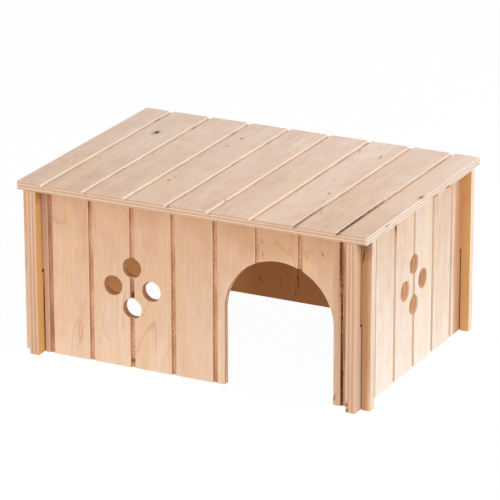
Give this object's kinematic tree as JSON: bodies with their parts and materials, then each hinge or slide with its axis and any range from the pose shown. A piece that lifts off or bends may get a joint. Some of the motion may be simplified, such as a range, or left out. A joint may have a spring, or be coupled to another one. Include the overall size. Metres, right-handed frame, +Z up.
{
  "type": "rabbit hutch",
  "caption": "Low bottomless plywood hutch for a small rabbit: grooved walls slotted together at the corners, an arched doorway, round vents and a grooved roof that lifts off.",
  "frame": {"origin": "on the floor, at the middle of the hutch's footprint", "axes": "+X along the front wall towards the doorway's side, +Y from the front wall to the back wall, +Z up"},
  "size_m": [0.33, 0.236, 0.157],
  "materials": {
    "plywood": "bare sanded birch plywood",
    "softwood": "bare planed softwood",
    "steel": "bright steel wire"
  },
  "bodies": {
    "walls": {"front_wall": "plywood", "back_wall": "plywood", "left_wall": "plywood", "right_wall": "plywood"},
    "roof": {"roof_panel": "plywood", "front_batten": "softwood", "back_batten": "softwood", "batten_brads": "steel"}
  },
  "joints": [
    {"name": "roof_lift", "type": "slide", "parent": "walls", "child": "roof", "axis": [0, 0, 1], "range_m": [0, 0.2]}
  ]
}
